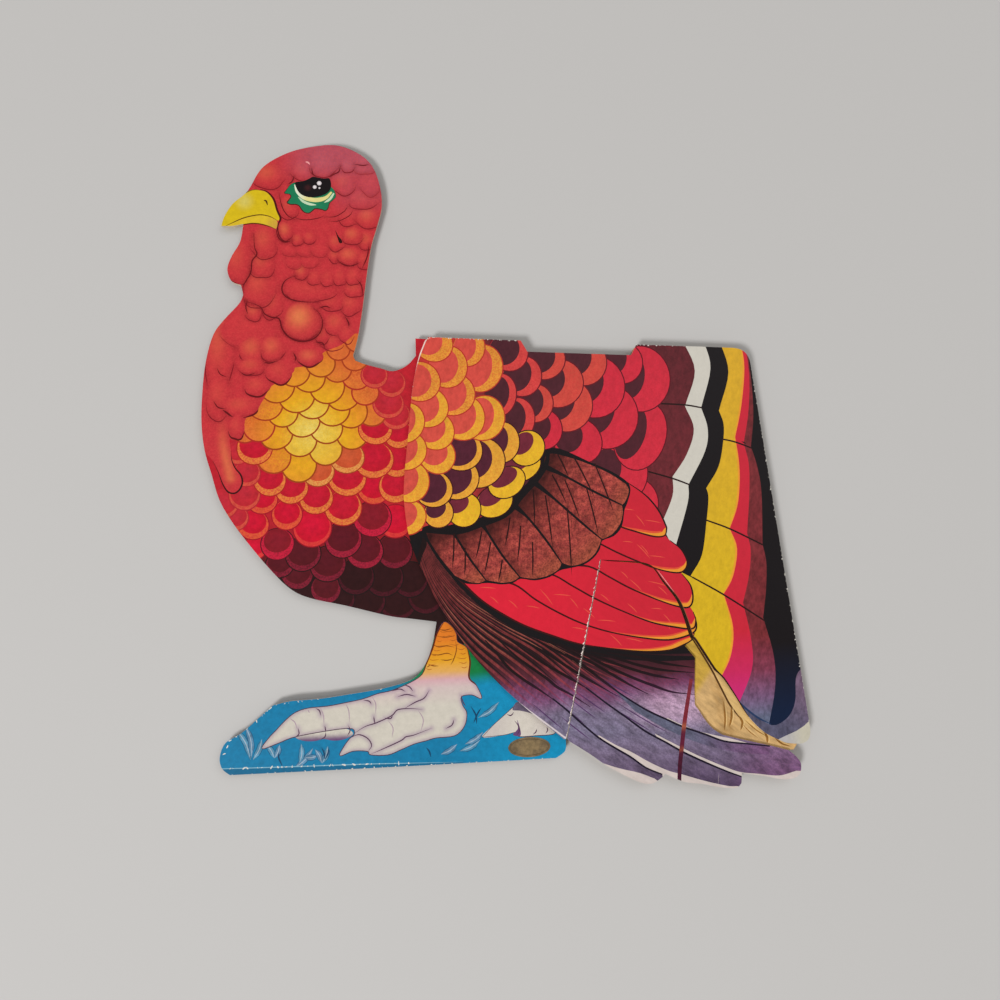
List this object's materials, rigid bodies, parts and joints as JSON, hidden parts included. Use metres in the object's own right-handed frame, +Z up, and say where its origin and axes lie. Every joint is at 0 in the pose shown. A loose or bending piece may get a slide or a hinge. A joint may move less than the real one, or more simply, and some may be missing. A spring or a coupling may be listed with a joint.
{
  "type": "thanksgiving turkey figure",
  "caption": "Flat-folded printed card turkey whose sides swing open at a front crease, with an unfolding back panel and hinged wing tips, to stand on a table.",
  "frame": {"origin": "on the table under the middle of the folded figure's outline", "axes": "+X from the breast to the tail, +Y from the base line to the crown, +Z up from the table, out of the left side"},
  "size_m": [0.2808, 0.3172, 0.0063],
  "materials": {
    "front_print": "satin printed card",
    "side_print": "satin printed card",
    "wing_print": "satin printed card",
    "bare_card": "matt bare card",
    "sticker": "satin foil paper"
  },
  "bodies": {
    "front": {"front_board_left": "front_print", "front_board_right": "front_print", "front_glue_tab_left": "bare_card", "front_glue_tab_right": "bare_card", "oval_sticker": "sticker"},
    "left_side": {"side_board_left": "side_print"},
    "right_side": {"side_board_right": "side_print"},
    "back_left": {"back_panel_left": "bare_card"},
    "back_right": {"back_panel_right": "bare_card"},
    "left_wing": {"wing_tip_left": "wing_print"},
    "right_wing": {"wing_tip_right": "wing_print"}
  },
  "joints": [
    {"name": "left_side_open", "type": "hinge", "parent": "front", "child": "left_side", "pos_m": [-0.0465, 0, 0.0055], "axis": [0, -1, 0], "range_deg": [0, 16]},
    {"name": "right_side_open", "type": "hinge", "parent": "front", "child": "right_side", "pos_m": [-0.0465, 0, 0.0008], "axis": [0, 1, 0], "range_deg": [0, 16]},
    {"name": "back_left_fold", "type": "hinge", "parent": "left_side", "child": "back_left", "pos_m": [0.14114, -0.14151, 0.0055], "axis": [0.0856, -0.9963, 0], "range_deg": [0, 22.5]},
    {"name": "back_right_fold", "type": "hinge", "parent": "right_side", "child": "back_right", "pos_m": [0.14114, -0.14151, 0.0008], "axis": [-0.0856, 0.9963, 0], "range_deg": [0, 22.5]},
    {"name": "left_wing_fold", "type": "hinge", "parent": "left_side", "child": "left_wing", "pos_m": [0.03534, -0.09206, 0.0063], "axis": [-0.2397, -0.9708, 0], "range_deg": [0, 90]},
    {"name": "right_wing_fold", "type": "hinge", "parent": "right_side", "child": "right_wing", "pos_m": [0.03534, -0.09206, 0], "axis": [0.2397, 0.9708, 0], "range_deg": [0, 90]}
  ],
  "couplings": [
    {"joint": "right_side_open", "follows": "left_side_open", "ratio": 1},
    {"joint": "back_left_fold", "follows": "left_side_open", "ratio": 1.4},
    {"joint": "back_right_fold", "follows": "left_side_open", "ratio": 1.4}
  ]
}
